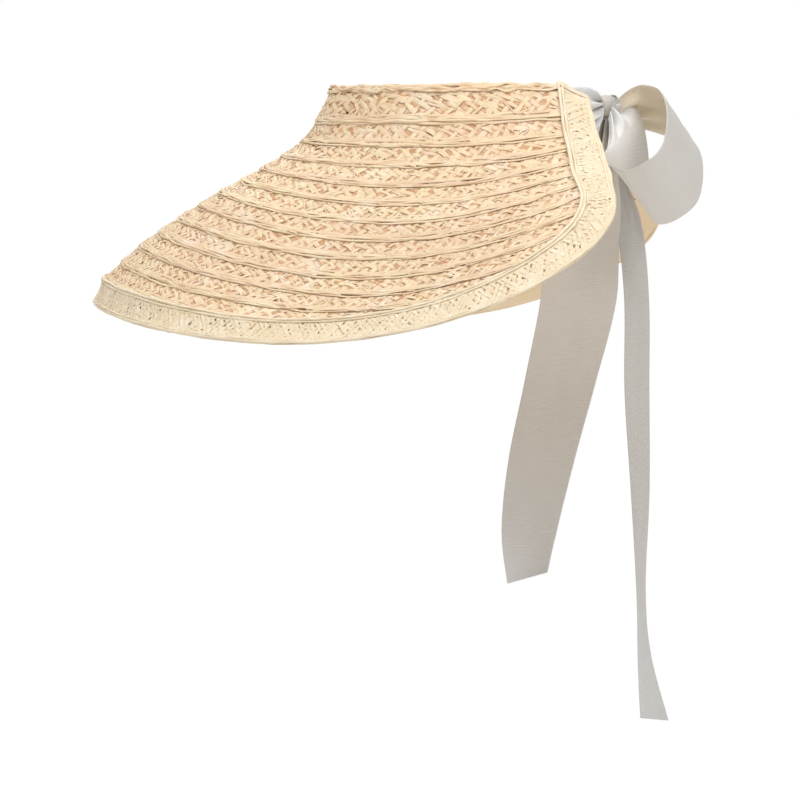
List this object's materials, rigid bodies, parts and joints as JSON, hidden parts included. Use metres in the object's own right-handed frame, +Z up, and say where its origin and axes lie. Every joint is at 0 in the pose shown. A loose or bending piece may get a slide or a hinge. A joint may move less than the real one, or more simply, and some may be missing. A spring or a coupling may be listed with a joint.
{
  "type": "sun visor",
  "caption": "Wide-brimmed straw sun visor of sewn plaited braids with a pale edge braid, open at the back and tied with a wide ribbon bow with hanging tails.",
  "frame": {"origin": "centre of the head opening in the plane of the crown's top edge", "axes": "+Z up out of the crown, -Y towards the front of the brim, +X towards the wearer's left"},
  "size_m": [0.4372, 0.4099, 0.4308],
  "materials": {
    "straw_braid": "matte plaited raffia, warm straw yellow with orange-brown creases",
    "pale_braid": "matte fine straw plait, pale cream",
    "ribbon": "matte ivory grosgrain with fine ribs",
    "thread": "matte cream sewing thread"
  },
  "bodies": {
    "visor": {"crown_braid": "straw_braid", "brim_braid_02": "straw_braid", "brim_braid_03": "straw_braid", "brim_braid_04": "straw_braid", "brim_braid_05": "straw_braid", "brim_braid_06": "straw_braid", "brim_braid_07": "straw_braid", "brim_braid_08": "straw_braid", "brim_braid_09": "straw_braid", "brim_braid_10": "straw_braid", "brim_braid_11": "straw_braid", "brim_braid_12": "straw_braid", "edge_braid": "pale_braid", "sweatband": "ribbon", "sweatband_stitches": "thread", "tie_left": "ribbon", "tie_right": "ribbon", "tie_stitches_left": "thread", "tie_stitches_right": "thread", "knot": "ribbon"},
    "left_loop": {"loop_left": "ribbon"},
    "right_loop": {"loop_right": "ribbon"},
    "left_tail": {"tail_left": "ribbon"},
    "right_tail": {"tail_right": "ribbon"}
  },
  "joints": [
    {"name": "left_loop_lift", "type": "hinge", "parent": "visor", "child": "left_loop", "pos_m": [0, 0.086, -0.014], "axis": [1, 0, 0], "range_deg": [0, 25]},
    {"name": "right_loop_lift", "type": "hinge", "parent": "visor", "child": "right_loop", "pos_m": [0, 0.086, -0.014], "axis": [1, 0, 0], "range_deg": [0, 15]},
    {"name": "left_tail_swing", "type": "hinge", "parent": "visor", "child": "left_tail", "pos_m": [0, 0.086, -0.014], "axis": [1, 0, 0], "range_deg": [-15, 15]},
    {"name": "right_tail_swing", "type": "hinge", "parent": "visor", "child": "right_tail", "pos_m": [0, 0.086, -0.014], "axis": [1, 0, 0], "range_deg": [-25, 2]}
  ]
}
